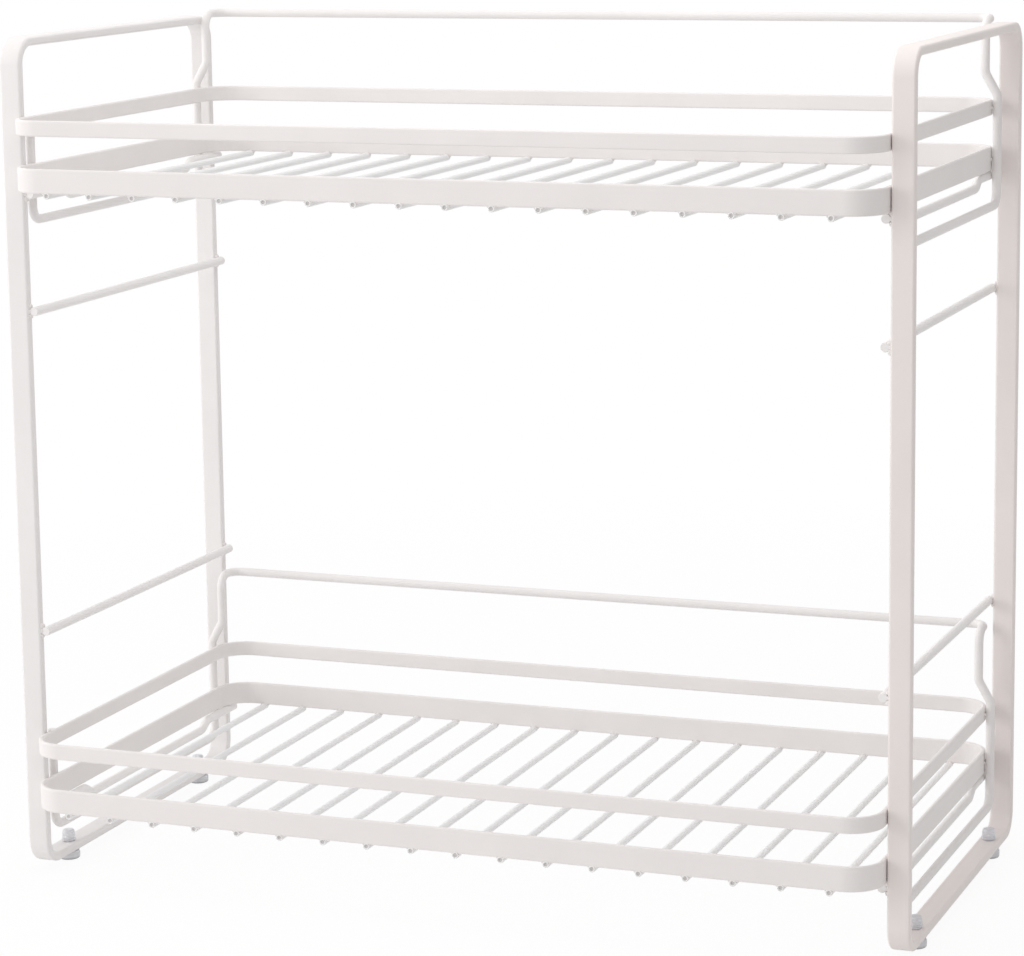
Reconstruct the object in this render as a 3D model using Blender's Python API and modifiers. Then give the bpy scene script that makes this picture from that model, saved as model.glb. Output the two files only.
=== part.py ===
"""A two-tier bathroom rack that stands on a counter, in metres, +Z up, front towards -Y.

Two closed loops of flat bar make the sides. Each tray is two rings of flat strip with a
floor of straight wires and one long bent wire: that wire hooks outside a rung of each side
loop, inside the loop's posts, and runs up to the rail along the tray's back. The trays rest
on the rungs and tie the two sides together, and the loops stand on four clear bumper feet.
"""

import math

import bmesh
import bpy
from mathutils import Matrix, Vector

# Side loops of flat bar
RACK_WIDTH = 0.410
LOOP_DEPTH = 0.192
LOOP_HEIGHT = 0.374
BAR_WIDTH = 0.010
BAR_THICKNESS = 0.004
LOOP_CORNER_RADIUS = 0.012
BAR_EDGE_RADIUS = 0.0006

# Rungs, rods of round wire along the inner faces of the two posts of a loop
RUNG_DIAMETER = 0.004
RUNG_END_SETBACK = 0.001
LOWER_TRAY_RUNG_HEIGHT = 0.0287
LOWER_SPARE_RUNG_HEIGHT = 0.1095
UPPER_SPARE_RUNG_HEIGHT = 0.254
UPPER_TRAY_RUNG_HEIGHT = 0.3058
RUNG_SEAT_LENGTH = 0.028
RUNG_DIP = 0.0035
RUNG_DIP_RUN = 0.006
RUNG_DIP_RADIUS = 0.006

# Trays, rings of flat strip
TRAY_DEPTH = 0.208
TRAY_OVERHANG = 0.0165
TRAY_CORNER_RADIUS = 0.015
STRIP_THICKNESS = 0.002
FLOOR_BAND_HEIGHT = 0.0108
GUARD_BAND_HEIGHT = 0.007
TRAY_HEIGHT = 0.0317
STRIP_EDGE_RADIUS = 0.0004

# Floor wires under the lower ring
FLOOR_WIRE_COUNT = 18
FLOOR_WIRE_INSET = 0.0197
FLOOR_WIRE_DIAMETER = 0.003

# Rail wire: front strut, hook run, rear upright and rail, as one bent wire
RAIL_WIRE_DIAMETER = 0.004
RAIL_WIRE_BEND_RADIUS = 0.006
RAIL_HEIGHT = 0.067
HOOK_DROP = 0.0148
FRONT_STRUT_SETBACK = 0.0112
REAR_UPRIGHT_SETBACK = 0.0145
STRUT_TOP_BELOW_GUARD = 0.001
JOG_START_ABOVE_GUARD = 0.002
JOG_HEIGHT = 0.010
JOG_INWARD = 0.0057

# Feet of clear soft plastic
PAD_DIAMETER = 0.010
PAD_DROP = 0.004
PAD_EDGE_RADIUS = 0.0008
FOOT_NECK_DIAMETER = 0.0044
FOOT_HEAD_DIAMETER = 0.0062
FOOT_HEAD_HEIGHT = 0.0052
FOOT_INSET = 0.0285

# Fits
CONTACT_GAP = 0.0003
HOOK_CLEARANCE = 0.0003
DRILL_OVERRUN = 0.002
WELD_DISTANCE = 0.00001

# Facets
CORNER_STEPS = 7
WIRE_BEND_STEPS = 5
DIP_BEND_STEPS = 2
WIRE_BEVEL_RESOLUTION = 2
FOOT_STEPS = 18
BEVEL_SEGMENTS = 1
SMOOTH_ANGLE = math.radians(35)

# Places that follow from the sizes
QUARTER_TURN = math.pi / 2
inner_face_x = RACK_WIDTH / 2 - BAR_WIDTH
bar_middle_x = (RACK_WIDTH - BAR_WIDTH) / 2
rung_x = inner_face_x - CONTACT_GAP - RUNG_DIAMETER / 2
hook_x = rung_x + RUNG_DIAMETER / 2 + HOOK_CLEARANCE + RAIL_WIRE_DIAMETER / 2
tray_half_width = hook_x - RAIL_WIRE_DIAMETER / 2 - CONTACT_GAP
tray_back_from_loop_front = TRAY_DEPTH - TRAY_OVERHANG
rail_from_loop_front = tray_back_from_loop_front - STRIP_THICKNESS / 2
rack_back_from_loop_front = max(LOOP_DEPTH, rail_from_loop_front + RAIL_WIRE_DIAMETER / 2)
loop_front_y = (TRAY_OVERHANG - rack_back_from_loop_front) / 2
loop_middle_y = loop_front_y + LOOP_DEPTH / 2
tray_middle_y = loop_front_y - TRAY_OVERHANG + TRAY_DEPTH / 2
seat_above_rung = RUNG_DIAMETER / 2 + CONTACT_GAP
lower_tray_z = PAD_DROP + LOWER_TRAY_RUNG_HEIGHT + seat_above_rung
upper_tray_z = PAD_DROP + UPPER_TRAY_RUNG_HEIGHT + seat_above_rung

SIDES = {"left": -1, "right": 1}
ENDS = {"front": -1, "rear": 1}
RUNGS = {
    "lower_tray_rung": LOWER_TRAY_RUNG_HEIGHT,
    "lower_spare_rung": LOWER_SPARE_RUNG_HEIGHT,
    "upper_spare_rung": UPPER_SPARE_RUNG_HEIGHT,
    "upper_tray_rung": UPPER_TRAY_RUNG_HEIGHT,
}
TRAYS = {"lower_tray": lower_tray_z, "upper_tray": upper_tray_z}

# The head of a foot from its top down, as shares of its radius and height: a blunt plug over
# a shallow groove and a ring that grips the bar
HEAD_SHARES = [
    (0.0, 1.0),
    (0.64, 1.0),
    (0.87, 0.94),
    (1.0, 0.76),
    (1.0, 0.42),
    (0.9, 0.36),
    (0.9, 0.29),
    (1.0, 0.23),
    (1.0, 0.06),
    (0.92, 0.0),
]


def empty_the_scene():
    for old in list(bpy.data.objects):
        bpy.data.objects.remove(old, do_unlink=True)


def new_collection(name):
    collection = bpy.data.collections.new(name)
    bpy.context.scene.collection.children.link(collection)
    return collection


def finish(name, colour, roughness, metallic=0.0, transmission=0.0):
    """A Principled material in the piece's own colour."""
    material = bpy.data.materials.new(name)
    material.use_nodes = True
    shader = material.node_tree.nodes["Principled BSDF"]
    shader.inputs["Base Color"].default_value = (*colour, 1.0)
    shader.inputs["Roughness"].default_value = roughness
    shader.inputs["Metallic"].default_value = metallic
    shader.inputs["Transmission Weight"].default_value = transmission
    material.diffuse_color = (*colour, 1.0)
    return material


def place(name, data, collection, location, parent=None):
    """One named object for one piece, set where it is fixed."""
    piece = bpy.data.objects.new(name, data)
    piece.location = location
    piece.parent = parent
    collection.objects.link(piece)
    return piece


def bend(before, corner, after, radius, steps):
    """Points of the round bend that replaces one corner of a wire's route."""
    incoming = (before - corner).normalized()
    outgoing = (after - corner).normalized()
    half_angle = incoming.angle(outgoing) / 2
    bisector = (incoming + outgoing).normalized()
    centre = corner + bisector * (radius / math.sin(half_angle))
    start = corner + incoming * (radius / math.tan(half_angle)) - centre
    end = corner + outgoing * (radius / math.tan(half_angle)) - centre
    turned = start.angle(end)
    points = []
    for step in range(steps + 1):
        share = step / steps
        from_start = math.sin((1 - share) * turned) / math.sin(turned)
        from_end = math.sin(share * turned) / math.sin(turned)
        points.append(centre + start * from_start + end * from_end)
    return points


def bent_route(corners, radii, steps):
    """A wire's centre line: straight runs joined by round bends."""
    corners = [Vector(corner) for corner in corners]
    points = [corners[0]]
    for index in range(1, len(corners) - 1):
        before, corner, after = corners[index - 1:index + 2]
        points += bend(before, corner, after, radii[index - 1], steps[index - 1])
    points.append(corners[-1])
    return points


def wire_curve(name, points, diameter, material):
    """A round wire with closed ends along its centre line."""
    curve = bpy.data.curves.new(name, "CURVE")
    curve.dimensions = "3D"
    curve.bevel_depth = diameter / 2
    curve.bevel_resolution = WIRE_BEVEL_RESOLUTION
    curve.use_fill_caps = True
    spline = curve.splines.new("POLY")
    spline.points.add(len(points) - 1)
    for target, point in zip(spline.points, points):
        target.co = (*point, 1.0)
    curve.materials.append(material)
    return curve


def rounded_rectangle(width, height, radius):
    """Outline of a rectangle with round corners, about its own middle."""
    outline = []
    for quarter in range(4):
        across = 1 if quarter in (0, 3) else -1
        along = 1 if quarter in (0, 1) else -1
        centre_x = across * (width / 2 - radius)
        centre_y = along * (height / 2 - radius)
        for step in range(CORNER_STEPS + 1):
            angle = QUARTER_TURN * (quarter + step / CORNER_STEPS)
            point_x = centre_x + radius * math.cos(angle)
            point_y = centre_y + radius * math.sin(angle)
            outline.append((point_x, point_y))
    return outline


def ring_mesh(name, width, height, corner_radius, thickness, length, material):
    """A flat bar bent into a closed ring, its strip's width along Z, as one welded mesh."""
    curve = bpy.data.curves.new(name, "CURVE")
    curve.dimensions = "2D"
    curve.fill_mode = "BOTH"
    curve.extrude = length / 2
    outlines = [
        rounded_rectangle(width, height, corner_radius),
        rounded_rectangle(width - 2 * thickness, height - 2 * thickness, corner_radius - thickness),
    ]
    for outline in outlines:
        spline = curve.splines.new("POLY")
        spline.points.add(len(outline) - 1)
        for target, point in zip(spline.points, outline):
            target.co = (*point, 0.0, 1.0)
        spline.use_cyclic_u = True
    guide = bpy.data.objects.new(name, curve)
    bpy.context.scene.collection.objects.link(guide)
    bpy.context.view_layer.update()
    evaluated = guide.evaluated_get(bpy.context.evaluated_depsgraph_get())
    mesh = bpy.data.meshes.new_from_object(evaluated)
    bpy.data.objects.remove(guide, do_unlink=True)
    bpy.data.curves.remove(curve)
    shape = bmesh.new()
    shape.from_mesh(mesh)
    bmesh.ops.remove_doubles(shape, verts=shape.verts, dist=WELD_DISTANCE)
    bmesh.ops.recalc_face_normals(shape, faces=shape.faces)
    shape.to_mesh(mesh)
    shape.free()
    mesh.name = name
    mesh.materials.clear()
    mesh.materials.append(material)
    return mesh


def round_edges(piece, radius):
    bevel = piece.modifiers.new("Rounded edges", "BEVEL")
    bevel.width = radius
    bevel.segments = BEVEL_SEGMENTS
    bevel.limit_method = "ANGLE"
    bevel.angle_limit = SMOOTH_ANGLE


def drill(piece, name, collection, location):
    """A hole through a bottom bar for the neck of a foot."""
    bore = FOOT_NECK_DIAMETER / 2 + CONTACT_GAP
    shape = bmesh.new()
    bmesh.ops.create_cone(
        shape,
        cap_ends=True,
        segments=FOOT_STEPS,
        radius1=bore,
        radius2=bore,
        depth=BAR_THICKNESS + 2 * DRILL_OVERRUN,
    )
    mesh = bpy.data.meshes.new(name)
    shape.to_mesh(mesh)
    shape.free()
    cutter = place(name, mesh, collection, location)
    cutter.hide_render = True
    cutter.display_type = "WIRE"
    cut = piece.modifiers.new(name, "BOOLEAN")
    cut.operation = "DIFFERENCE"
    cut.solver = "EXACT"
    cut.object = cutter


def standing_turn():
    """Stands an outline drawn in X and Y up in the Y and Z plane, its thickness along X."""
    from_y = Vector((0.0, 0.0, 1.0))
    from_x = Vector((0.0, 1.0, 0.0))
    columns = (from_x, from_y, from_x.cross(from_y))
    turn = [[column[row] for column in columns] + [0.0] for row in range(3)]
    return Matrix(turn + [[0.0, 0.0, 0.0, 1.0]])


def make_side_loops(collection, cutters):
    """Two closed loops of flat bar, each drilled through its bottom bar for two feet."""
    coating = finish("loop_coating", (0.83, 0.80, 0.74), 0.42)
    mesh = ring_mesh(
        "side_loop", LOOP_DEPTH, LOOP_HEIGHT, LOOP_CORNER_RADIUS, BAR_THICKNESS, BAR_WIDTH, coating
    )
    mesh.transform(standing_turn())
    for side, across in SIDES.items():
        middle = (across * bar_middle_x, loop_middle_y, PAD_DROP + LOOP_HEIGHT / 2)
        loop = place(f"{side}_side_frame", mesh, collection, middle)
        round_edges(loop, BAR_EDGE_RADIUS)
        for end, along in ENDS.items():
            hole_y = loop_middle_y + along * (LOOP_DEPTH / 2 - FOOT_INSET)
            hole = (across * bar_middle_x, hole_y, PAD_DROP + BAR_THICKNESS / 2)
            drill(loop, f"{end}_{side}_foot_hole", cutters, hole)


def make_rungs(collection):
    """Four rods a side, welded along the posts' inner faces; a tray's rods dip between two seats."""
    coating = finish("rung_coating", (0.82, 0.79, 0.73), 0.42)
    half_length = LOOP_DEPTH / 2 - RUNG_END_SETBACK
    seat_end = LOOP_DEPTH / 2 - BAR_THICKNESS - RUNG_SEAT_LENGTH
    straight = [(0.0, -half_length, 0.0), (0.0, half_length, 0.0)]
    dip = [
        (0.0, -seat_end, 0.0),
        (0.0, RUNG_DIP_RUN - seat_end, -RUNG_DIP),
        (0.0, seat_end - RUNG_DIP_RUN, -RUNG_DIP),
        (0.0, seat_end, 0.0),
    ]
    dipped = straight[:1] + dip + straight[1:]
    spare_route = bent_route(straight, [], [])
    tray_route = bent_route(dipped, [RUNG_DIP_RADIUS] * len(dip), [DIP_BEND_STEPS] * len(dip))
    spare_curve = wire_curve("spare_rung", spare_route, RUNG_DIAMETER, coating)
    tray_curve = wire_curve("tray_rung", tray_route, RUNG_DIAMETER, coating)
    for side, across in SIDES.items():
        for rung, height in RUNGS.items():
            curve = tray_curve if "tray" in rung else spare_curve
            location = (across * rung_x, loop_middle_y, PAD_DROP + height)
            place(f"{side}_{rung}", curve, collection, location)


def foot_profile():
    """Half section of a foot from the top of its head down to the pad, out from the axis."""
    pad_radius = PAD_DIAMETER / 2
    pad_top = PAD_DROP - CONTACT_GAP
    head_bottom = PAD_DROP + BAR_THICKNESS + CONTACT_GAP
    head_radius = FOOT_HEAD_DIAMETER / 2
    neck_radius = FOOT_NECK_DIAMETER / 2
    points = [(across * head_radius, head_bottom + up * FOOT_HEAD_HEIGHT) for across, up in HEAD_SHARES]
    points += [
        (neck_radius, head_bottom),
        (neck_radius, pad_top),
        (pad_radius - PAD_EDGE_RADIUS, pad_top),
        (pad_radius, pad_top - PAD_EDGE_RADIUS),
        (pad_radius, PAD_EDGE_RADIUS),
        (pad_radius - PAD_EDGE_RADIUS, 0.0),
        (0.0, 0.0),
    ]
    return points


def make_feet(collection):
    """Four turned bumpers: a head above the bar, a neck in the hole and a pad under the bar."""
    clear_plastic = finish("clear_plastic", (0.80, 0.86, 0.88), 0.15, transmission=0.6)
    mesh = bpy.data.meshes.new("foot")
    points = [(across, 0.0, up) for across, up in foot_profile()]
    edges = [(index, index + 1) for index in range(len(points) - 1)]
    mesh.from_pydata(points, edges, [])
    mesh.materials.append(clear_plastic)
    for side, across in SIDES.items():
        for end, along in ENDS.items():
            foot_y = loop_middle_y + along * (LOOP_DEPTH / 2 - FOOT_INSET)
            location = (across * bar_middle_x, foot_y, 0.0)
            foot = place(f"{end}_{side}_foot", mesh, collection, location)
            turning = foot.modifiers.new("Turned", "SCREW")
            turning.axis = "Z"
            turning.steps = FOOT_STEPS
            turning.render_steps = FOOT_STEPS
            turning.use_merge_vertices = True
            turning.merge_threshold = WELD_DISTANCE
            turning.use_smooth_shade = True


def rail_wire_route():
    """Centre line of a rail wire about its tray's middle, Z from the underside of the floor band."""
    strut_y = loop_front_y + FRONT_STRUT_SETBACK - tray_middle_y
    upright_y = loop_front_y + LOOP_DEPTH - REAR_UPRIGHT_SETBACK - tray_middle_y
    rail_y = loop_front_y + rail_from_loop_front - tray_middle_y
    rail_x = hook_x - JOG_INWARD
    jog_z = TRAY_HEIGHT + JOG_START_ABOVE_GUARD
    half = [
        (hook_x, strut_y, TRAY_HEIGHT - STRUT_TOP_BELOW_GUARD),
        (hook_x, strut_y, -HOOK_DROP),
        (hook_x, upright_y, -HOOK_DROP),
        (hook_x, upright_y, jog_z),
        (rail_x, upright_y, jog_z + JOG_HEIGHT),
        (rail_x, upright_y, RAIL_HEIGHT),
        (rail_x, rail_y, RAIL_HEIGHT),
    ]
    other_half = [(-x, y, z) for x, y, z in reversed(half)]
    corners = half + other_half
    radii = [RAIL_WIRE_BEND_RADIUS] * (len(corners) - 2)
    steps = [WIRE_BEND_STEPS] * (len(corners) - 2)
    for index, corner in enumerate(corners[1:-1]):
        if corner[1] == upright_y and jog_z <= corner[2] <= jog_z + JOG_HEIGHT:
            steps[index] = DIP_BEND_STEPS
    return bent_route(corners, radii, steps)


def make_trays(collection):
    """Two equal trays, each carried by an empty on its lift's axis."""
    band_coating = finish("band_coating", (0.84, 0.81, 0.75), 0.40)
    floor_coating = finish("floor_wire_coating", (0.83, 0.80, 0.74), 0.42)
    rail_coating = finish("rail_wire_coating", (0.83, 0.80, 0.74), 0.40)
    floor_band = ring_mesh(
        "floor_band", 2 * tray_half_width, TRAY_DEPTH, TRAY_CORNER_RADIUS, STRIP_THICKNESS,
        FLOOR_BAND_HEIGHT, band_coating,
    )
    guard_band = ring_mesh(
        "guard_band", 2 * tray_half_width, TRAY_DEPTH, TRAY_CORNER_RADIUS, STRIP_THICKNESS,
        GUARD_BAND_HEIGHT, band_coating,
    )
    floor_route = [(0.0, -TRAY_DEPTH / 2, 0.0), (0.0, TRAY_DEPTH / 2, 0.0)]
    floor_wire = wire_curve("floor_wire", floor_route, FLOOR_WIRE_DIAMETER, floor_coating)
    rail_wire = wire_curve("rail_wire", rail_wire_route(), RAIL_WIRE_DIAMETER, rail_coating)
    floor_wire_z = -CONTACT_GAP - FLOOR_WIRE_DIAMETER / 2
    last_wire_x = tray_half_width - FLOOR_WIRE_INSET
    pitch = 2 * last_wire_x / (FLOOR_WIRE_COUNT - 1)
    for tray, height in TRAYS.items():
        carrier = place(f"{tray}_lift", None, collection, (0.0, tray_middle_y, height))
        bands = {
            f"{tray}_floor_band": (floor_band, FLOOR_BAND_HEIGHT / 2),
            f"{tray}_guard_band": (guard_band, TRAY_HEIGHT - GUARD_BAND_HEIGHT / 2),
        }
        for name, (mesh, middle_z) in bands.items():
            band = place(name, mesh, collection, (0.0, 0.0, middle_z), carrier)
            round_edges(band, STRIP_EDGE_RADIUS)
        for number in range(FLOOR_WIRE_COUNT):
            wire_x = number * pitch - last_wire_x
            name = f"{tray}_floor_wire_{number + 1:02d}"
            place(name, floor_wire, collection, (wire_x, 0.0, floor_wire_z), carrier)
        place(f"{tray}_rail_wire", rail_wire, collection, (0.0, 0.0, 0.0), carrier)


def shade_round(collection):
    """Smooth shading on every mesh, with the flats' edges kept sharp."""
    for piece in collection.objects:
        if piece.type == "MESH" and piece.data.polygons:
            piece.data.shade_smooth()
            piece.data.set_sharp_from_angle(angle=SMOOTH_ANGLE)


empty_the_scene()
rack = new_collection("bathroom_rack")
cutters = new_collection("cutters")
make_side_loops(rack, cutters)
make_rungs(rack)
make_feet(rack)
make_trays(rack)
shade_round(rack)
bpy.context.view_layer.update()
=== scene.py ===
"""Looks of a two-tier bathroom rack: powder-coated bar, strip and wire on four clear feet."""
import math

import bmesh
import bpy
from mathutils import Euler, Matrix, Vector


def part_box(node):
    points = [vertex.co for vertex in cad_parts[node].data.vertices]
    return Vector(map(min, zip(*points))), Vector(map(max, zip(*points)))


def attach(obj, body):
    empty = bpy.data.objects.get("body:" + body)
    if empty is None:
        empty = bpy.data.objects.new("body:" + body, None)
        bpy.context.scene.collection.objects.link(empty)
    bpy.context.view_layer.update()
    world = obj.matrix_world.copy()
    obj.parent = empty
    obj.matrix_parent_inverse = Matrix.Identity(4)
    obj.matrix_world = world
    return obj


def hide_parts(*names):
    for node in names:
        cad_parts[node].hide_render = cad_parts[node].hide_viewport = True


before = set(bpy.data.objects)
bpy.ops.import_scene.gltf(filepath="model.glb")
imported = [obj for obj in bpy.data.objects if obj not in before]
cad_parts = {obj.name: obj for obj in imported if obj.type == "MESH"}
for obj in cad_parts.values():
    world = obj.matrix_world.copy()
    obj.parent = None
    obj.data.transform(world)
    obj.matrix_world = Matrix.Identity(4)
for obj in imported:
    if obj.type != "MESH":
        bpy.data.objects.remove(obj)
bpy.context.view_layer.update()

# Camera
# The photograph is taken from the front, a little to the right of the rack and just above its
# top, with a long lens. Its frame is 1024 by 956 pixels.
PHOTO_WIDTH_PX = 1024
PHOTO_HEIGHT_PX = 956
FOCAL_LENGTH_PX = 3416.8
LENS_AXIS_X_PX = 512
LENS_AXIS_Y_PX = 430
SENSOR_WIDTH_MM = 36
CAMERA_PLACE = (0.5386, -1.4045, 0.4626)
CAMERA_YAW = math.radians(-21.026)
CAMERA_PITCH = math.radians(-9.893)
CAMERA_ROLL = math.radians(0.749)


def placed(name, data):
    """A new object with this data, linked to the scene at its origin."""
    thing = bpy.data.objects.new(name, data)
    bpy.context.scene.collection.objects.link(thing)
    return thing


def add_camera():
    lens = bpy.data.cameras.new("camera")
    lens.sensor_width = SENSOR_WIDTH_MM
    lens.lens = FOCAL_LENGTH_PX / PHOTO_WIDTH_PX * SENSOR_WIDTH_MM
    lens.shift_x = (PHOTO_WIDTH_PX / 2 - LENS_AXIS_X_PX) / PHOTO_WIDTH_PX
    lens.shift_y = (LENS_AXIS_Y_PX - PHOTO_HEIGHT_PX / 2) / PHOTO_WIDTH_PX
    camera = placed("camera", lens)
    aim = Euler((math.pi / 2 + CAMERA_PITCH, 0, -CAMERA_YAW)).to_matrix()
    camera.matrix_world = Matrix.Translation(CAMERA_PLACE) @ (
        aim @ Matrix.Rotation(-CAMERA_ROLL, 3, "Z")
    ).to_4x4()
    bpy.context.scene.camera = camera


add_camera()

# Floor, backdrop and lights
# A white counter runs into a white backdrop and keeps a faint shadow of the rack, which fades out
# with distance. The white is only what the camera sees, and adds no light to the rack. The main
# soft lamp stands front left, with weaker ones on the left, high above and low above the rack.
FLOOR_SIZE = 8.0
FLOOR_COLOUR = (0.93, 0.93, 0.93, 1)
SHADOW_SHARE = 0.08
SHADOW_FADES_FROM = 0.3
SHADOW_FADES_TO = 0.9
SURROUND_LIGHT = 0.59
LAMPS = {
    "front_left_lamp": ((-1.7, -1.3, 0.7), 1.2, 14.0),
    "left_lamp": ((-1.6, 0.0, 0.8), 1.2, 5.6),
    "top_lamp": ((0.0, -0.1, 1.5), 1.0, 2.4),
    "low_front_lamp": ((0.05, -0.25, 0.8), 0.5, 0.85),
    "low_rear_lamp": ((-0.1, 0.35, 0.75), 0.5, 0.45),
}
LAMP_TARGET = Vector((0, 0, 0.18))


def seen_directly(nodes, links):
    """1 where the camera, a reflection or clear plastic sees the surface, 0 for its own light."""
    path = nodes.new("ShaderNodeLightPath")
    seen = path.outputs["Is Camera Ray"]
    for ray in ("Is Glossy Ray", "Is Transmission Ray"):
        either = nodes.new("ShaderNodeMath")
        either.operation = "MAXIMUM"
        links.new(seen, either.inputs[0])
        links.new(path.outputs[ray], either.inputs[1])
        seen = either.outputs[0]
    return seen


def add_floor():
    bpy.ops.mesh.primitive_plane_add(size=FLOOR_SIZE)
    floor = bpy.context.object
    floor.name = "floor"
    material = bpy.data.materials.new("white_counter")
    material.use_nodes = True
    nodes = material.node_tree.nodes
    links = material.node_tree.links
    nodes.clear()
    lit = nodes.new("ShaderNodeBsdfDiffuse")
    lit.inputs["Color"].default_value = FLOOR_COLOUR
    white = nodes.new("ShaderNodeEmission")
    place = nodes.new("ShaderNodeTexCoord")
    distance = nodes.new("ShaderNodeVectorMath")
    distance.operation = "LENGTH"
    links.new(place.outputs["Object"], distance.inputs[0])
    fade = nodes.new("ShaderNodeMapRange")
    fade.inputs["From Min"].default_value = SHADOW_FADES_FROM
    fade.inputs["From Max"].default_value = SHADOW_FADES_TO
    fade.inputs["To Min"].default_value = 1 - SHADOW_SHARE
    fade.inputs["To Max"].default_value = 1
    links.new(distance.outputs["Value"], fade.inputs["Value"])
    share = nodes.new("ShaderNodeMath")
    share.operation = "MULTIPLY"
    links.new(seen_directly(nodes, links), share.inputs[0])
    links.new(fade.outputs["Result"], share.inputs[1])
    mix = nodes.new("ShaderNodeMixShader")
    links.new(share.outputs[0], mix.inputs[0])
    links.new(lit.outputs[0], mix.inputs[1])
    links.new(white.outputs[0], mix.inputs[2])
    links.new(mix.outputs[0], nodes.new("ShaderNodeOutputMaterial").inputs["Surface"])
    floor.data.materials.append(material)


def add_surround():
    world = bpy.data.worlds.new("white_surround")
    bpy.context.scene.world = world
    world.use_nodes = True
    nodes = world.node_tree.nodes
    links = world.node_tree.links
    nodes.clear()
    light = nodes.new("ShaderNodeBackground")
    light.inputs["Strength"].default_value = SURROUND_LIGHT
    white = nodes.new("ShaderNodeBackground")
    mix = nodes.new("ShaderNodeMixShader")
    links.new(seen_directly(nodes, links), mix.inputs[0])
    links.new(light.outputs[0], mix.inputs[1])
    links.new(white.outputs[0], mix.inputs[2])
    links.new(mix.outputs[0], nodes.new("ShaderNodeOutputWorld").inputs["Surface"])
    for background in (light, white):
        background.inputs["Color"].default_value = (1, 1, 1, 1)


def add_lamps():
    for name, (place, size, power) in LAMPS.items():
        light = bpy.data.lights.new(name, "AREA")
        light.size = size
        light.energy = power
        lamp = placed(name, light)
        lamp.location = place
        lamp.rotation_euler = (LAMP_TARGET - Vector(place)).to_track_quat("-Z", "Y").to_euler()


add_floor()
add_surround()
add_lamps()
bpy.context.scene.view_settings.view_transform = "Standard"

# Side frames
# Each is a steel bar of 10 by 4 mm bent into a closed loop, butt-welded and drilled twice through
# its bottom run for the feet. The powder coat is off-white with a faint orange-peel skin. As
# painted light, the left frame's copy of the coat is lighter and the right frame's darker and
# pinker.
BAR_THICKNESS = 0.004
BAR_EDGE_RADIUS = 0.0012
LOOP_CORNER_RADIUS = 0.012
LOOP_CORNER_STEPS = 16
EDGE_STEPS = 4
FOOT_HOLE_RADIUS = 0.0025
FOOT_HOLE_SIDES = 40
HOLE_OVERRUN = 0.002
LYING_TO_STANDING = Matrix(((0, 0, 1, 0), (1, 0, 0, 0), (0, 1, 0, 0), (0, 0, 0, 1)))
MERGE_DISTANCE = 1e-6
SHARP_FROM_DEGREES = 40
COAT_COLOUR = (0.83, 0.792, 0.778)
COAT_SPREAD = 0.02
COAT_ROUGHNESS = (0.42, 0.52)
COAT_SPECULAR = 0.25
CLOUD_GRAIN_PER_METRE = 28
CLOUD_DETAIL = 4
CLOUD_TONE_EDGES = (0.3, 0.7)
PEEL_GRAIN_PER_METRE = 1400
PEEL_DETAIL = 2
PEEL_DEPTH = 0.00003
PEEL_STRENGTH = 0.5
# Painted light and shade: each frame gets its own lighter or darker, pinker or less pink copy of
# the coat for the light on its side.
FRAME_PAINTED_LIGHTNESS = {"left": 1.02, "right": 0.98}
FRAME_PAINTED_BLUSH = {"left": 0.7, "right": 1.7}


def socket_in(tree, name, kind, value=None):
    """Gives a node group a named input, with a first value where it needs one."""
    socket = tree.interface.new_socket(name, in_out="INPUT", socket_type=kind)
    if value is not None:
        socket.default_value = value


def powder_coat(name, lightness=1.0, blush=1.0):
    """Satin powder coat: clouded off-white colour, uneven gloss and a fine orange-peel bump.

    lightness scales the colour, and blush scales how far it is from grey; the lighter, darker and
    pinker copies made with them are painted light and shade.
    """
    material = bpy.data.materials.new(name)
    material.use_nodes = True
    nodes = material.node_tree.nodes
    links = material.node_tree.links
    shader = nodes["Principled BSDF"]
    shader.inputs["Metallic"].default_value = 0
    shader.inputs["Specular IOR Level"].default_value = COAT_SPECULAR
    place = nodes.new("ShaderNodeTexCoord")
    cloud = nodes.new("ShaderNodeTexNoise")
    cloud.inputs["Scale"].default_value = CLOUD_GRAIN_PER_METRE
    cloud.inputs["Detail"].default_value = CLOUD_DETAIL
    peel = nodes.new("ShaderNodeTexNoise")
    peel.inputs["Scale"].default_value = PEEL_GRAIN_PER_METRE
    peel.inputs["Detail"].default_value = PEEL_DETAIL
    for noise in (cloud, peel):
        links.new(place.outputs["Object"], noise.inputs["Vector"])
    tone = nodes.new("ShaderNodeValToRGB")
    grey = sum(COAT_COLOUR) / len(COAT_COLOUR)
    colour = [grey + (channel - grey) * blush for channel in COAT_COLOUR]
    shades = (lightness - COAT_SPREAD, lightness + COAT_SPREAD)
    for element, edge, shade in zip(tone.color_ramp.elements, CLOUD_TONE_EDGES, shades):
        element.position = edge
        element.color = [channel * shade for channel in colour] + [1]
    links.new(cloud.outputs["Fac"], tone.inputs["Fac"])
    links.new(tone.outputs["Color"], shader.inputs["Base Color"])
    gloss = nodes.new("ShaderNodeMapRange")
    gloss.inputs["To Min"].default_value = COAT_ROUGHNESS[0]
    gloss.inputs["To Max"].default_value = COAT_ROUGHNESS[1]
    links.new(peel.outputs["Fac"], gloss.inputs["Value"])
    links.new(gloss.outputs["Result"], shader.inputs["Roughness"])
    bump = nodes.new("ShaderNodeBump")
    bump.inputs["Strength"].default_value = PEEL_STRENGTH
    bump.inputs["Distance"].default_value = PEEL_DEPTH
    links.new(peel.outputs["Fac"], bump.inputs["Height"])
    links.new(bump.outputs["Normal"], shader.inputs["Normal"])
    return material


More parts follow.
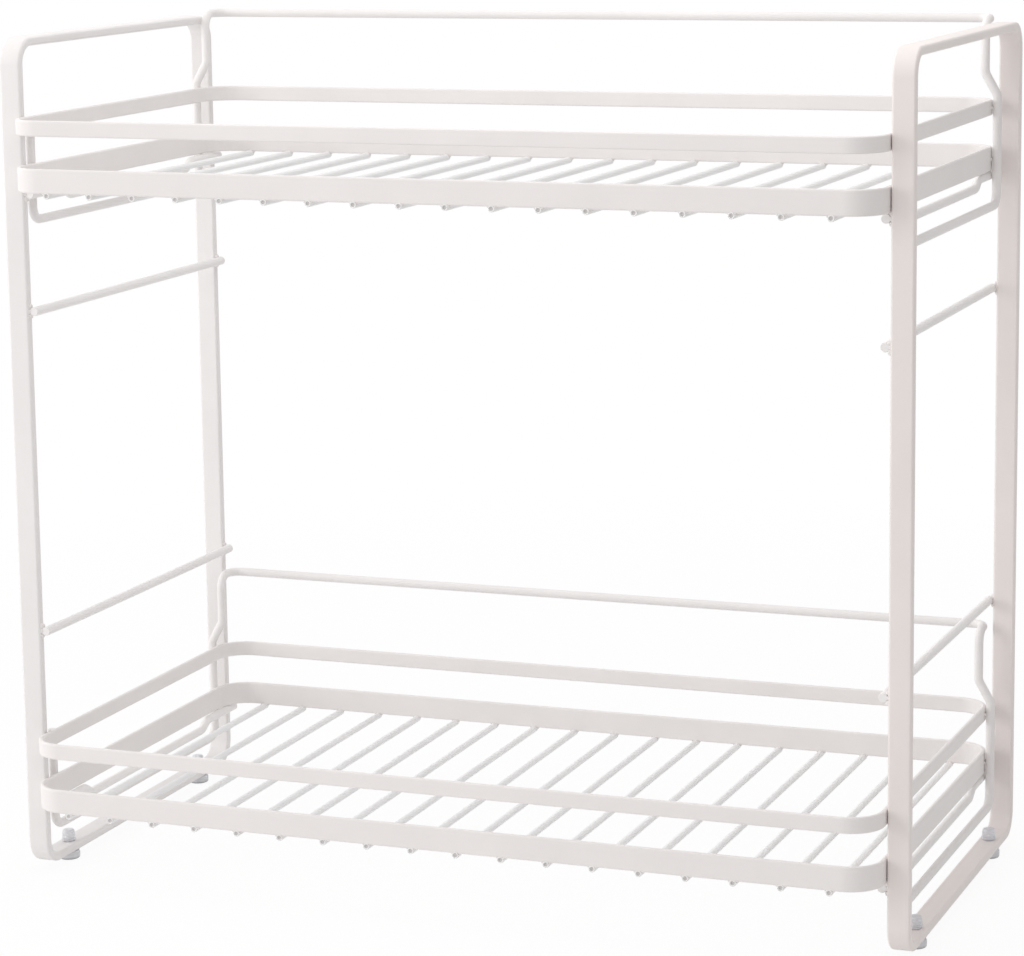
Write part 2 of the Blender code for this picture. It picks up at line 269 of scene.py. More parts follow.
def end_tree(tree, shape, material):
    """Ends a tree in Realize Instances and Set Material."""
    nodes = tree.nodes
    links = tree.links
    real = nodes.new("GeometryNodeRealizeInstances")
    links.new(shape, real.inputs[0])
    coat = nodes.new("GeometryNodeSetMaterial")
    links.new(real.outputs[0], coat.inputs["Geometry"])
    links.new(material, coat.inputs["Material"])
    links.new(coat.outputs[0], nodes.new("NodeGroupOutput").inputs[0])


def bent_flat_tree():
    """Geometry Nodes that sweep a flat section with rounded edges round a closed rectangle."""
    tree = bpy.data.node_groups.new("bent_flat", "GeometryNodeTree")
    tree.is_modifier = True
    for name in (
        "Width", "Depth", "Corner radius", "Section width", "Section thickness", "Edge radius"
    ):
        socket_in(tree, name, "NodeSocketFloat")
    socket_in(tree, "Corner steps", "NodeSocketInt", LOOP_CORNER_STEPS)
    socket_in(tree, "Edge steps", "NodeSocketInt", EDGE_STEPS)
    socket_in(tree, "Material", "NodeSocketMaterial")
    tree.interface.new_socket("Geometry", in_out="OUTPUT", socket_type="NodeSocketGeometry")
    nodes = tree.nodes
    links = tree.links
    sizes = nodes.new("NodeGroupInput").outputs
    route = nodes.new("GeometryNodeCurvePrimitiveQuadrilateral")
    section = nodes.new("GeometryNodeCurvePrimitiveQuadrilateral")
    links.new(sizes["Width"], route.inputs["Width"])
    links.new(sizes["Depth"], route.inputs["Height"])
    links.new(sizes["Section thickness"], section.inputs["Width"])
    links.new(sizes["Section width"], section.inputs["Height"])
    rounded = []
    for shape, radius, steps in (
        (route, "Corner radius", "Corner steps"), (section, "Edge radius", "Edge steps")
    ):
        fillet = nodes.new("GeometryNodeFilletCurve")
        fillet.mode = "POLY"
        links.new(shape.outputs[0], fillet.inputs["Curve"])
        links.new(sizes[radius], fillet.inputs["Radius"])
        links.new(sizes[steps], fillet.inputs["Count"])
        rounded.append(fillet.outputs[0])
    level = nodes.new("GeometryNodeSetCurveNormal")
    level.mode = "Z_UP"
    links.new(rounded[0], level.inputs["Curve"])
    sweep = nodes.new("GeometryNodeCurveToMesh")
    links.new(level.outputs[0], sweep.inputs["Curve"])
    links.new(rounded[1], sweep.inputs["Profile Curve"])
    end_tree(tree, sweep.outputs[0], sizes["Material"])
    return tree


def as_plain_mesh(thing):
    """The mesh that an object's modifiers make."""
    bpy.context.view_layer.update()
    evaluated = thing.evaluated_get(bpy.context.evaluated_depsgraph_get())
    return bpy.data.meshes.new_from_object(evaluated)


def grown(tree, name, values, start=None):
    """Runs a Geometry Nodes tree once and keeps its result as a plain, outward-facing mesh."""
    source = placed(name, start or bpy.data.meshes.new(name))
    modifier = source.modifiers.new(name, "NODES")
    modifier.node_group = tree
    inputs = [item for item in tree.interface.items_tree if item.in_out == "INPUT"]
    identifiers = {item.name: item.identifier for item in inputs}
    for label, value in values.items():
        modifier[identifiers[label]] = value
    mesh = as_plain_mesh(source)
    bpy.data.objects.remove(source)
    return clean(mesh, name)


def clean(mesh, name):
    """The same mesh, named, with its doubles merged and its faces turned outwards."""
    shape = bmesh.new()
    shape.from_mesh(mesh)
    bmesh.ops.remove_doubles(shape, verts=shape.verts, dist=MERGE_DISTANCE)
    bmesh.ops.recalc_face_normals(shape, faces=shape.faces)
    shape.to_mesh(mesh)
    shape.free()
    mesh.name = name
    return mesh


def piece(name, mesh):
    """A finished mesh as an object at the origin, shaded evenly on its flats and round edges."""
    mesh.shade_smooth()
    mesh.set_sharp_from_angle(angle=math.radians(SHARP_FROM_DEGREES))
    shown = placed(name, mesh)
    even = shown.modifiers.new("even_flats", "WEIGHTED_NORMAL")
    even.keep_sharp = True
    finished = as_plain_mesh(shown)
    shown.modifiers.clear()
    shown.data = finished
    return shown


def bored(mesh, name, places):
    """The same mesh with round holes cut down through it at each place."""
    bar = placed(name, mesh)
    drills = []
    for spot in places:
        bpy.ops.mesh.primitive_cylinder_add(
            vertices=FOOT_HOLE_SIDES, radius=FOOT_HOLE_RADIUS,
            depth=BAR_THICKNESS + 2 * HOLE_OVERRUN, location=spot,
        )
        drills.append(bpy.context.object)
        cut = bar.modifiers.new("foot_hole", "BOOLEAN")
        cut.operation = "DIFFERENCE"
        cut.object = drills[-1]
    drilled = as_plain_mesh(bar)
    for spare in drills + [bar]:
        bpy.data.objects.remove(spare)
    return drilled


bent_flat = bent_flat_tree()
for side in ("left", "right"):
    low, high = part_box(f"{side}_side_frame")
    middle = (low + high) / 2
    frame_painted_light_coat = powder_coat(f"{side}_frame_painted_light_coat", FRAME_PAINTED_LIGHTNESS[side], FRAME_PAINTED_BLUSH[side])
    loop = grown(bent_flat, f"{side}_frame", {
        "Width": high.y - low.y - BAR_THICKNESS,
        "Depth": high.z - low.z - BAR_THICKNESS,
        "Corner radius": LOOP_CORNER_RADIUS - BAR_THICKNESS / 2,
        "Section width": high.x - low.x,
        "Section thickness": BAR_THICKNESS,
        "Edge radius": BAR_EDGE_RADIUS,
        "Material": frame_painted_light_coat,
    })
    loop.transform(Matrix.Translation(middle) @ LYING_TO_STANDING)
    holes = []
    for end in ("front", "rear"):
        foot_low, foot_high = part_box(f"{end}_{side}_foot")
        foot_middle = (foot_low + foot_high) / 2
        holes.append((foot_middle.x, foot_middle.y, low.z + BAR_THICKNESS / 2))
    loop = bored(loop, f"{side}_frame", holes)
    shown = piece(f"{side}_frame", loop)
    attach(shown, "root")
    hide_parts(f"{side}_side_frame")

# Rungs
# Four rods of 4 mm round wire a side, cut square and welded along the inner faces of the posts. The
# two that carry the trays are pressed down between their ends, so that a tray sits on four seats.
WIRE_SIDES = 24
CUT_RIM_RADIUS = 0.0003
CUT_RIM_STEPS = 3
CUT_RIM_FROM_DEGREES = 60
BEND_STEPS = 10
RUNG_LEVELS = ("lower_tray", "lower_spare", "upper_spare", "upper_tray")
RUNG_DIAMETER = 0.004
RUNG_SEAT_LENGTH = 0.028
RUNG_DIP_RUN = 0.006
RUNG_DIP_RADIUS = 0.006
# Painted light: the rungs get a lighter, less pink copy of the coat for the light on the thin wire.
RUNG_PAINTED_LIGHTNESS = 1.06
RUNG_PAINTED_BLUSH = 0.65


def bent_wire_tree():
    """Geometry Nodes that round each corner of a route and sweep a round wire along it."""
    tree = bpy.data.node_groups.new("bent_wire", "GeometryNodeTree")
    tree.is_modifier = True
    socket_in(tree, "Route", "NodeSocketGeometry")
    socket_in(tree, "Wire diameter", "NodeSocketFloat")
    socket_in(tree, "Wire sides", "NodeSocketInt", WIRE_SIDES)
    socket_in(tree, "Bend steps", "NodeSocketInt", BEND_STEPS)
    socket_in(tree, "Material", "NodeSocketMaterial")
    tree.interface.new_socket("Geometry", in_out="OUTPUT", socket_type="NodeSocketGeometry")
    nodes = tree.nodes
    links = tree.links
    sizes = nodes.new("NodeGroupInput").outputs
    route = nodes.new("GeometryNodeMeshToCurve")
    links.new(sizes["Route"], route.inputs["Mesh"])
    radius = nodes.new("GeometryNodeInputNamedAttribute")
    radius.data_type = "FLOAT"
    radius.inputs["Name"].default_value = "bend_radius"
    fillet = nodes.new("GeometryNodeFilletCurve")
    fillet.mode = "POLY"
    links.new(route.outputs[0], fillet.inputs["Curve"])
    links.new(radius.outputs["Attribute"], fillet.inputs["Radius"])
    links.new(sizes["Bend steps"], fillet.inputs["Count"])
    half = nodes.new("ShaderNodeMath")
    half.operation = "MULTIPLY"
    half.inputs[1].default_value = 0.5
    links.new(sizes["Wire diameter"], half.inputs[0])
    section = nodes.new("GeometryNodeCurvePrimitiveCircle")
    links.new(sizes["Wire sides"], section.inputs["Resolution"])
    links.new(half.outputs[0], section.inputs["Radius"])
    sweep = nodes.new("GeometryNodeCurveToMesh")
    sweep.inputs["Fill Caps"].default_value = True
    links.new(fillet.outputs[0], sweep.inputs["Curve"])
    links.new(section.outputs[0], sweep.inputs["Profile Curve"])
    end_tree(tree, sweep.outputs[0], sizes["Material"])
    return tree


def wire_route(name, corners, radii):
    """A wire's straight runs as a chain of edges that holds the radius of each bend."""
    mesh = bpy.data.meshes.new(name)
    mesh.from_pydata(corners, [(index, index + 1) for index in range(len(corners) - 1)], [])
    bends = mesh.attributes.new("bend_radius", "FLOAT", "POINT")
    bends.data.foreach_set("value", [0, *radii, 0])
    return mesh


def rims_rounded(mesh, name):
    """The same mesh with its sharp cut rims rounded, as the coat rounds them."""
    cut = placed(name, mesh)
    bevel = cut.modifiers.new("cut_rims", "BEVEL")
    bevel.width = CUT_RIM_RADIUS
    bevel.segments = CUT_RIM_STEPS
    bevel.limit_method = "ANGLE"
    bevel.angle_limit = math.radians(CUT_RIM_FROM_DEGREES)
    rounded = as_plain_mesh(cut)
    bpy.data.objects.remove(cut)
    return rounded


def cut_wire(name, corners, radii, diameter, material):
    """A bent round wire cut square at both ends."""
    start = wire_route(f"{name}_route", corners, radii)
    mesh = grown(bent_wire, name, {
        "Wire diameter": diameter,
        "Wire sides": WIRE_SIDES,
        "Bend steps": BEND_STEPS,
        "Material": material,
    }, start)
    return rims_rounded(mesh, name)


bent_wire = bent_wire_tree()
rung_coat = powder_coat("rung_coat", RUNG_PAINTED_LIGHTNESS, RUNG_PAINTED_BLUSH)
for side in ("left", "right"):
    post_low, post_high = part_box(f"{side}_side_frame")
    for level in RUNG_LEVELS:
        node = f"{side}_{level}_rung"
        low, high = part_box(node)
        run_x = (low.x + high.x) / 2
        seat = high.z - RUNG_DIAMETER / 2
        dip = low.z + RUNG_DIAMETER / 2
        dips = []
        if "tray" in level:
            seat_front = post_low.y + BAR_THICKNESS + RUNG_SEAT_LENGTH
            seat_rear = post_high.y - BAR_THICKNESS - RUNG_SEAT_LENGTH
            dips = [
                (run_x, seat_front, seat),
                (run_x, seat_front + RUNG_DIP_RUN, dip),
                (run_x, seat_rear - RUNG_DIP_RUN, dip),
                (run_x, seat_rear, seat),
            ]
        corners = [(run_x, low.y, seat), *dips, (run_x, high.y, seat)]
        rod = cut_wire(node, corners, [RUNG_DIP_RADIUS] * len(dips), RUNG_DIAMETER, rung_coat)
        shown = piece(f"{side}_{level}_rod", rod)
        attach(shown, "root")
        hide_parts(node)

# Rung welds
# Rough beads in the crease between each rung's ends and the inner face of the post they lie along:
# lumpy balls of uneven size above, behind and below the wire, under the same powder coat.
BEAD_SUBDIVISIONS = 2
BEAD_SPREAD = 0.25
BEAD_LUMPS = 0.3
BEAD_LUMP_GRAIN = 1.3
NOISE_MIDDLE = 0.5
RUNG_BEAD_RADIUS = 0.0015
RUNG_BEAD_FROM_MIDDLE = 0.0021
RUNG_WELD_SEEDS = {"left": 3, "right": 8}


def weld_beads_tree():
    """Geometry Nodes that set a lumpy ball, turned and sized at random, on each point."""
    tree = bpy.data.node_groups.new("weld_beads", "GeometryNodeTree")
    tree.is_modifier = True
    socket_in(tree, "Places", "NodeSocketGeometry")
    socket_in(tree, "Bead radius", "NodeSocketFloat")
    socket_in(tree, "Spread", "NodeSocketFloat", BEAD_SPREAD)
    socket_in(tree, "Lumps", "NodeSocketFloat", BEAD_LUMPS)
    socket_in(tree, "Lump grain", "NodeSocketFloat", BEAD_LUMP_GRAIN)
    socket_in(tree, "Seed", "NodeSocketInt", 0)
    socket_in(tree, "Material", "NodeSocketMaterial")
    tree.interface.new_socket("Geometry", in_out="OUTPUT", socket_type="NodeSocketGeometry")
    nodes = tree.nodes
    links = tree.links
    sizes = nodes.new("NodeGroupInput").outputs
    ball = nodes.new("GeometryNodeMeshIcoSphere")
    ball.inputs["Subdivisions"].default_value = BEAD_SUBDIVISIONS
    lump = nodes.new("ShaderNodeTexNoise")
    lump.inputs["Detail"].default_value = 0
    links.new(sizes["Lump grain"], lump.inputs["Scale"])
    centred = nodes.new("ShaderNodeMath")
    centred.operation = "SUBTRACT"
    centred.inputs[1].default_value = NOISE_MIDDLE
    links.new(lump.outputs[0], centred.inputs[0])
    height = nodes.new("ShaderNodeMath")
    height.operation = "MULTIPLY"
    links.new(centred.outputs[0], height.inputs[0])
    links.new(sizes["Lumps"], height.inputs[1])
    push = nodes.new("ShaderNodeVectorMath")
    push.operation = "SCALE"
    links.new(nodes.new("GeometryNodeInputPosition").outputs[0], push.inputs[0])
    links.new(height.outputs[0], push.inputs["Scale"])
    lumpy = nodes.new("GeometryNodeSetPosition")
    links.new(ball.outputs[0], lumpy.inputs["Geometry"])
    links.new(push.outputs[0], lumpy.inputs["Offset"])
    size = nodes.new("FunctionNodeRandomValue")
    size.data_type = "FLOAT"
    least = nodes.new("ShaderNodeMath")
    least.operation = "SUBTRACT"
    least.inputs[0].default_value = 1
    links.new(sizes["Spread"], least.inputs[1])
    links.new(least.outputs[0], size.inputs[2])
    size.inputs[3].default_value = 1
    scale = nodes.new("ShaderNodeMath")
    scale.operation = "MULTIPLY"
    links.new(size.outputs[1], scale.inputs[0])
    links.new(sizes["Bead radius"], scale.inputs[1])
    turn = nodes.new("FunctionNodeRandomValue")
    turn.data_type = "FLOAT_VECTOR"
    turn.inputs[1].default_value = (math.tau, math.tau, math.tau)
    for random_value in (size, turn):
        links.new(sizes["Seed"], random_value.inputs["Seed"])
    beads = nodes.new("GeometryNodeInstanceOnPoints")
    links.new(sizes["Places"], beads.inputs["Points"])
    links.new(lumpy.outputs[0], beads.inputs["Instance"])
    links.new(turn.outputs[0], beads.inputs["Rotation"])
    links.new(scale.outputs[0], beads.inputs["Scale"])
    end_tree(tree, beads.outputs[0], sizes["Material"])
    return tree


def welds(name, places, radius, seed):
    """One mesh of weld beads at the given places."""
    points = bpy.data.meshes.new(f"{name}_places")
    points.from_pydata(places, [], [])
    return grown(weld_beads, name, {
        "Bead radius": radius,
        "Spread": BEAD_SPREAD,
        "Lumps": BEAD_LUMPS,
        "Lump grain": BEAD_LUMP_GRAIN,
        "Seed": seed,
        "Material": weld_coat,
    }, points)


weld_beads = weld_beads_tree()
weld_coat = powder_coat("weld_coat")
for side, seed in RUNG_WELD_SEEDS.items():
    post_low, post_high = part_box(f"{side}_side_frame")
    post_face = post_high.x if side == "left" else post_low.x
    places = []
    for level in RUNG_LEVELS:
        rung_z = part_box(f"{side}_{level}_rung")[1].z - RUNG_DIAMETER / 2
        for post_y in (post_low.y + BAR_THICKNESS / 2, post_high.y - BAR_THICKNESS / 2):
            for up in (-1, 0, 1):
                places.append((post_face, post_y, rung_z + up * RUNG_BEAD_FROM_MIDDLE))
    beads = welds(f"{side}_rung_welds", places, RUNG_BEAD_RADIUS, seed)
    shown = piece(f"{side}_rung_welds", beads)
    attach(shown, "root")

# Feet
# Each is one soft translucent plastic bumper pushed up through a drilled hole: a pad below the
# bar, a neck in the hole and a blunt ribbed head that grips on top. Its colour is painted darker
# towards the pad's bottom rim, as shade where it meets the counter.
FOOT_SIDES = 48
PAD_DIAMETER = 0.010
PAD_THICKNESS = 0.0037
PAD_EDGE_RADIUS = 0.0009
PAD_EDGE_STEPS = 6
NECK_RADIUS = 0.0022
HEAD_RADIUS = 0.0031
HEAD_HEIGHT = 0.0052
CLEAR_TINT = (0.93, 0.93, 0.96)
CLEAR_TINT_SPREAD = 0.08
CLEAR_TRANSMISSION = 0.4
CLEAR_IOR = 1.45
CLEAR_ROUGHNESS = (0.28, 0.45)
HAZE_GRAIN_PER_METRE = 420
HAZE_DETAIL = 3
# Painted shade: the pad's colour darkens between these heights towards its bottom rim, where it
# meets the counter.
PAD_FOOT_PAINTED_SHADE = 0.45
PAD_FOOT_SHADE_HEIGHTS = (0.0003, 0.0016)
HEAD_SHARES = (
    (0.0, 1.0), (0.50, 1.0), (0.68, 0.985), (0.78, 0.95), (0.85, 0.90), (0.89, 0.84),
    (0.90, 0.80), (0.86, 0.765), (0.865, 0.735), (0.91, 0.71), (0.94, 0.66), (0.95, 0.60),
    (0.945, 0.55), (0.90, 0.51), (0.905, 0.48), (0.94, 0.45), (0.965, 0.40), (0.965, 0.34),
    (0.90, 0.29), (0.90, 0.26), (0.97, 0.235), (1.0, 0.19), (1.0, 0.09), (0.97, 0.04),
    (0.90, 0.0),
)


def clear_plastic():
    """Soft translucent plastic: a cool tint, a little clouding, uneven gloss and painted shade at
    the bottom rim.
    """
    material = bpy.data.materials.new("clear_bumper_plastic")
    material.use_nodes = True
    nodes = material.node_tree.nodes
    links = material.node_tree.links
    shader = nodes["Principled BSDF"]
    shader.inputs["Transmission Weight"].default_value = CLEAR_TRANSMISSION
    shader.inputs["IOR"].default_value = CLEAR_IOR
    place = nodes.new("ShaderNodeTexCoord")
    haze = nodes.new("ShaderNodeTexNoise")
    haze.inputs["Scale"].default_value = HAZE_GRAIN_PER_METRE
    haze.inputs["Detail"].default_value = HAZE_DETAIL
    links.new(place.outputs["Object"], haze.inputs["Vector"])
    tint = nodes.new("ShaderNodeValToRGB")
    for element, share in zip(tint.color_ramp.elements, (1 - CLEAR_TINT_SPREAD, 1)):
        element.color = [channel * share for channel in CLEAR_TINT] + [1]
    links.new(haze.outputs["Fac"], tint.inputs["Fac"])
    height = nodes.new("ShaderNodeSeparateXYZ")
    links.new(place.outputs["Object"], height.inputs[0])
    # Painted shade: the tint is darkened towards the bottom of the pad.
    foot_shade = nodes.new("ShaderNodeMapRange")
    foot_shade.inputs["From Min"].default_value = PAD_FOOT_SHADE_HEIGHTS[0]
    foot_shade.inputs["From Max"].default_value = PAD_FOOT_SHADE_HEIGHTS[1]
    foot_shade.inputs["To Min"].default_value = PAD_FOOT_PAINTED_SHADE
    links.new(height.outputs["Z"], foot_shade.inputs["Value"])
    shade = nodes.new("ShaderNodeVectorMath")
    shade.operation = "SCALE"
    links.new(tint.outputs["Color"], shade.inputs[0])
    links.new(foot_shade.outputs["Result"], shade.inputs["Scale"])
    links.new(shade.outputs[0], shader.inputs["Base Color"])
    gloss = nodes.new("ShaderNodeMapRange")
    gloss.inputs["To Min"].default_value = CLEAR_ROUGHNESS[0]
    gloss.inputs["To Max"].default_value = CLEAR_ROUGHNESS[1]
    links.new(haze.outputs["Fac"], gloss.inputs["Value"])
    links.new(gloss.outputs["Result"], shader.inputs["Roughness"])
    return material


def arc_points(centre, radius, first, last, steps):
    """Points of a quarter round in a half section, from one angle to another."""
    points = []
    for step in range(steps + 1):
        angle = math.radians(first + (last - first) * step / steps)
        points.append((centre[0] + radius * math.cos(angle), centre[1] + radius * math.sin(angle)))
    return points


def turned(name, profile, sides, axis):
    """A half section spun into a closed solid about the vertical through axis."""
    shape = bmesh.new()
    rings = []
    for across, up in profile:
        if across == 0:
            rings.append([shape.verts.new((axis.x, axis.y, up))])
            continue
        ring = []
        for step in range(sides):
            angle = 2 * math.pi * step / sides
            spot = (axis.x + across * math.cos(angle), axis.y + across * math.sin(angle), up)
            ring.append(shape.verts.new(spot))
        rings.append(ring)
    for upper, lower in zip(rings, rings[1:]):
        for step in range(sides):
            following = (step + 1) % sides
            corners = [upper[step % len(upper)], lower[step % len(lower)]]
            if len(lower) > 1:
                corners.append(lower[following])
            if len(upper) > 1:
                corners.append(upper[following])
            shape.faces.new(corners)
    mesh = bpy.data.meshes.new(name)
    shape.to_mesh(mesh)
    shape.free()
    return clean(mesh, name)


plastic = clear_plastic()
for end in ("front", "rear"):
    for side in ("left", "right"):
        node = f"{end}_{side}_foot"
        low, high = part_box(node)
        head_bottom = high.z - HEAD_HEIGHT
        pad_edge = PAD_DIAMETER / 2 - PAD_EDGE_RADIUS
        pad_top_edge = (pad_edge, PAD_THICKNESS - PAD_EDGE_RADIUS)
        pad_bottom_edge = (pad_edge, PAD_EDGE_RADIUS)
        profile = []
        for across, up in HEAD_SHARES:
            profile.append((across * HEAD_RADIUS, head_bottom + up * HEAD_HEIGHT))
        profile += [(NECK_RADIUS, head_bottom), (NECK_RADIUS, PAD_THICKNESS)]
        profile += arc_points(pad_top_edge, PAD_EDGE_RADIUS, 90, 0, PAD_EDGE_STEPS)
        profile += arc_points(pad_bottom_edge, PAD_EDGE_RADIUS, 0, -90, PAD_EDGE_STEPS)
        profile += [(0, 0)]
        mesh = turned(node, profile, FOOT_SIDES, (low + high) / 2)
        mesh.materials.append(plastic)
        shown = piece(f"{end}_{side}_bumper", mesh)
        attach(shown, "root")
        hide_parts(node)

# Tray bands
# Each tray has two rings of 2 mm flat strip with rounded corners: a deeper one that carries the
# floor and a narrower guard ring above it, coated in the same off-white.
STRIP_THICKNESS = 0.002
STRIP_EDGE_RADIUS = 0.0008
TRAY_CORNER_RADIUS = 0.015
# Painted light: the bands get a copy of the coat a shade lighter than the bars'.
BAND_PAINTED_LIGHTNESS = 1.01
TRAYS = ("lower_tray", "upper_tray")
band_coat = powder_coat("band_coat", BAND_PAINTED_LIGHTNESS)
for tray in TRAYS:
    for band in ("floor_band", "guard_band"):
        node = f"{tray}_{band}"
        low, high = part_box(node)
        ring = grown(bent_flat, node, {
            "Width": high.x - low.x - STRIP_THICKNESS,
            "Depth": high.y - low.y - STRIP_THICKNESS,
            "Corner radius": TRAY_CORNER_RADIUS - STRIP_THICKNESS / 2,
            "Section width": high.z - low.z,
            "Section thickness": STRIP_THICKNESS,
            "Edge radius": STRIP_EDGE_RADIUS,
            "Material": band_coat,
        })
        ring.transform(Matrix.Translation((low + high) / 2))
        shown = piece(f"{tray}_{band}_strip", ring)
        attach(shown, tray)
        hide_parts(node)

# Floor wires
# Eighteen straight 3 mm wires run front to back under each floor band and are sheared off flush
# with its faces, and welding has sunk the wires into the band's edge. The dished cuts are painted
# darker as shade, and the wires get a lighter, less pink copy of the coat as painted light.
FLOOR_WIRE_COUNT = 18
FLOOR_WIRE_SIDES = 20
FLOOR_WIRE_SUNK = 0.001
DISH_STEPS = ((0.0003, 0.0003), (0.0004, 0.0002))
# Painted light: the floor wires get a lighter, less pink copy of the coat for the light on their
# tops.
FLOOR_WIRE_PAINTED_LIGHTNESS = 1.08
FLOOR_WIRE_PAINTED_BLUSH = 0.15
# Painted shade: the cut ends get a darker copy of the coat for the shade under the band.
CUT_END_PAINTED_SHADE = 0.72


def wire_floor_tree():
    """Geometry Nodes that lay equal straight wires side by side."""
    tree = bpy.data.node_groups.new("wire_floor", "GeometryNodeTree")
    tree.is_modifier = True
    socket_in(tree, "First wire front", "NodeSocketVector")
    socket_in(tree, "First wire rear", "NodeSocketVector")
    socket_in(tree, "Pitch", "NodeSocketFloat")
    socket_in(tree, "Wire count", "NodeSocketInt", FLOOR_WIRE_COUNT)
    socket_in(tree, "Wire radius", "NodeSocketFloat")
    socket_in(tree, "Wire sides", "NodeSocketInt", FLOOR_WIRE_SIDES)
    socket_in(tree, "Material", "NodeSocketMaterial")
    tree.interface.new_socket("Geometry", in_out="OUTPUT", socket_type="NodeSocketGeometry")
    nodes = tree.nodes
    links = tree.links
    sizes = nodes.new("NodeGroupInput").outputs
    line = nodes.new("GeometryNodeCurvePrimitiveLine")
    links.new(sizes["First wire front"], line.inputs["Start"])
    links.new(sizes["First wire rear"], line.inputs["End"])
    section = nodes.new("GeometryNodeCurvePrimitiveCircle")
    links.new(sizes["Wire sides"], section.inputs["Resolution"])
    links.new(sizes["Wire radius"], section.inputs["Radius"])
    sweep = nodes.new("GeometryNodeCurveToMesh")
    sweep.inputs["Fill Caps"].default_value = True
    links.new(line.outputs[0], sweep.inputs["Curve"])
    links.new(section.outputs[0], sweep.inputs["Profile Curve"])
    spacing = nodes.new("ShaderNodeCombineXYZ")
    links.new(sizes["Pitch"], spacing.inputs["X"])
    row = nodes.new("GeometryNodeMeshLine")
    row.mode = "OFFSET"
    links.new(sizes["Wire count"], row.inputs["Count"])
    links.new(spacing.outputs[0], row.inputs["Offset"])
    wires = nodes.new("GeometryNodeInstanceOnPoints")
    links.new(row.outputs[0], wires.inputs["Points"])
    links.new(sweep.outputs[0], wires.inputs["Instance"])
    end_tree(tree, wires.outputs[0], sizes["Material"])
    return tree


def ends_dished(mesh, material):
    """Sinks the middle of each flat cut end in narrowing steps, and gives it a darker coat as
    painted shade.
    """
    mesh.materials.append(material)
    cut_slot = len(mesh.materials) - 1
    shape = bmesh.new()
    shape.from_mesh(mesh)
    ends = [face for face in shape.faces if len(face.verts) == FLOOR_WIRE_SIDES]
    for inward, deeper in DISH_STEPS:
        bmesh.ops.inset_individual(shape, faces=ends, thickness=inward, depth=-deeper)
        for face in ends:
            face.material_index = cut_slot
    shape.to_mesh(mesh)
    shape.free()
    return mesh


wire_floor = wire_floor_tree()
floor_wire_coat = powder_coat("floor_wire_coat", FLOOR_WIRE_PAINTED_LIGHTNESS, FLOOR_WIRE_PAINTED_BLUSH)
cut_end_shade_coat = powder_coat("painted_shade_on_cut_ends", CUT_END_PAINTED_SHADE)
for tray in TRAYS:
    numbers = range(1, FLOOR_WIRE_COUNT + 1)
    wire_nodes = [f"{tray}_floor_wire_{number:02d}" for number in numbers]
    low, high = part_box(wire_nodes[0])
    last_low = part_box(wire_nodes[-1])[0]
    middle = (low + high) / 2
    wire_z = middle.z + FLOOR_WIRE_SUNK
    wires = grown(wire_floor, f"{tray}_floor", {
        "First wire front": (middle.x, low.y, wire_z),
        "First wire rear": (middle.x, high.y, wire_z),
        "Pitch": (last_low.x - low.x) / (FLOOR_WIRE_COUNT - 1),
        "Wire count": FLOOR_WIRE_COUNT,
        "Wire radius": (high.z - low.z) / 2,
        "Wire sides": FLOOR_WIRE_SIDES,
        "Material": floor_wire_coat,
    })
    wires = ends_dished(rims_rounded(wires, f"{tray}_floor"), cut_end_shade_coat)
    shown = piece(f"{tray}_floor_wires", wires)
    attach(shown, tray)
    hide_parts(*wire_nodes)

# Rail wires
# One bent 4 mm wire a tray: a strut up its front, a hook run below its band, an upright behind
# that jogs inward above the guard ring, and the rail across the back to the same on the far side.
RAIL_WIRE_DIAMETER = 0.004
RAIL_WIRE_BEND_RADIUS = 0.006
UPRIGHT_FROM_LOOP_REAR = 0.0145
STRUT_TOP_BELOW_GUARD = 0.001
JOG_START_ABOVE_GUARD = 0.002
JOG_HEIGHT = 0.010
JOG_INWARD = 0.0057
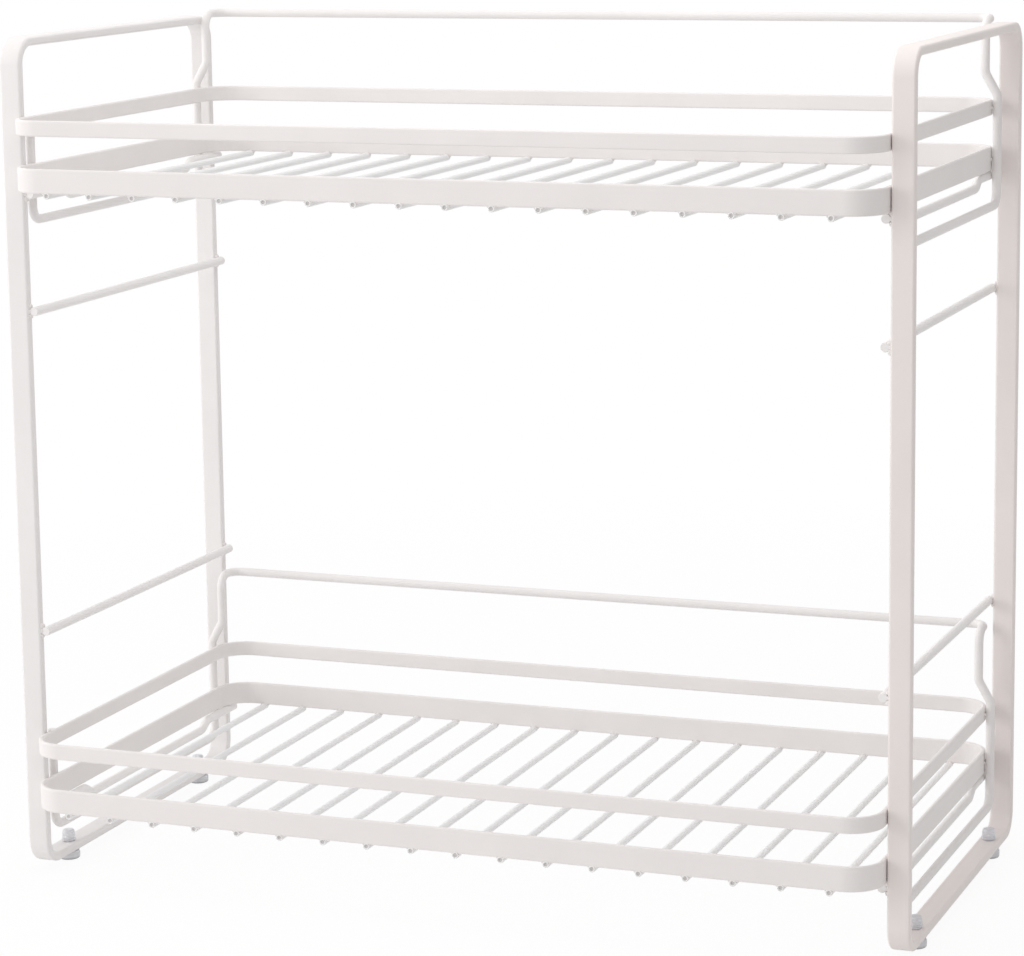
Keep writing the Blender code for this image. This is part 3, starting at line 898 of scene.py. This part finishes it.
# Painted light: the rail wire gets a slightly lighter, less pink copy of the coat for the light on
# it.
RAIL_PAINTED_LIGHTNESS = 1.02
RAIL_PAINTED_BLUSH = 0.75
rail_coat = powder_coat("rail_wire_coat", RAIL_PAINTED_LIGHTNESS, RAIL_PAINTED_BLUSH)
loop_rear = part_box("right_side_frame")[1].y
for tray in TRAYS:
    node = f"{tray}_rail_wire"
    low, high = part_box(node)
    radius = RAIL_WIRE_DIAMETER / 2
    hook_x = high.x - radius
    rail_x = hook_x - JOG_INWARD
    strut_y = low.y + radius
    upright_y = loop_rear - UPRIGHT_FROM_LOOP_REAR
    rail_y = high.y - radius
    run_z = low.z + radius
    rail_z = high.z - radius
    guard_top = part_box(f"{tray}_guard_band")[1].z
    jog_z = guard_top + JOG_START_ABOVE_GUARD
    half = [
        (hook_x, strut_y, guard_top - STRUT_TOP_BELOW_GUARD),
        (hook_x, strut_y, run_z),
        (hook_x, upright_y, run_z),
        (hook_x, upright_y, jog_z),
        (rail_x, upright_y, jog_z + JOG_HEIGHT),
        (rail_x, upright_y, rail_z),
        (rail_x, rail_y, rail_z),
    ]
    corners = half + [(-x, y, z) for x, y, z in reversed(half)]
    radii = [RAIL_WIRE_BEND_RADIUS] * (len(corners) - 2)
    rail = cut_wire(node, corners, radii, RAIL_WIRE_DIAMETER, rail_coat)
    shown = piece(f"{tray}_rail", rail)
    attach(shown, tray)
    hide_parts(node)

# Tray welds
# Small rough beads where each floor wire meets the band above it, front and rear, and in the
# creases where the rail wire's strut and upright lie against both bands.
TRAY_BEAD_RADIUS = 0.0009
FLOOR_BEAD_ABOVE_WIRE_MIDDLE = 0.0009
RAIL_BEAD_FROM_MIDDLE = 0.0014
TRAY_WELD_SEEDS = {"lower_tray": 5, "upper_tray": 6}
for tray, seed in TRAY_WELD_SEEDS.items():
    band_low, band_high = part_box(f"{tray}_floor_band")
    guard_low, guard_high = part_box(f"{tray}_guard_band")
    rail_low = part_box(f"{tray}_rail_wire")[0]
    places = []
    for number in range(1, FLOOR_WIRE_COUNT + 1):
        low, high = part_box(f"{tray}_floor_wire_{number:02d}")
        middle = (low + high) / 2
        bead_z = middle.z + FLOOR_WIRE_SUNK + FLOOR_BEAD_ABOVE_WIRE_MIDDLE
        for across in (-1, 1):
            bead_x = middle.x + across * (high.x - low.x) / 2
            places.append((bead_x, band_low.y + STRIP_THICKNESS / 2, bead_z))
            places.append((bead_x, band_high.y - STRIP_THICKNESS / 2, bead_z))
    for wire_y in (rail_low.y + RAIL_WIRE_DIAMETER / 2, loop_rear - UPRIGHT_FROM_LOOP_REAR):
        for along in (-1, 1):
            for bead_z in ((band_low.z + band_high.z) / 2, (guard_low.z + guard_high.z) / 2):
                for bead_x in (band_low.x, band_high.x):
                    places.append((bead_x, wire_y + along * RAIL_BEAD_FROM_MIDDLE, bead_z))
    beads = welds(f"{tray}_welds", places, TRAY_BEAD_RADIUS, seed)
    shown = piece(f"{tray}_welds", beads)
    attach(shown, tray)
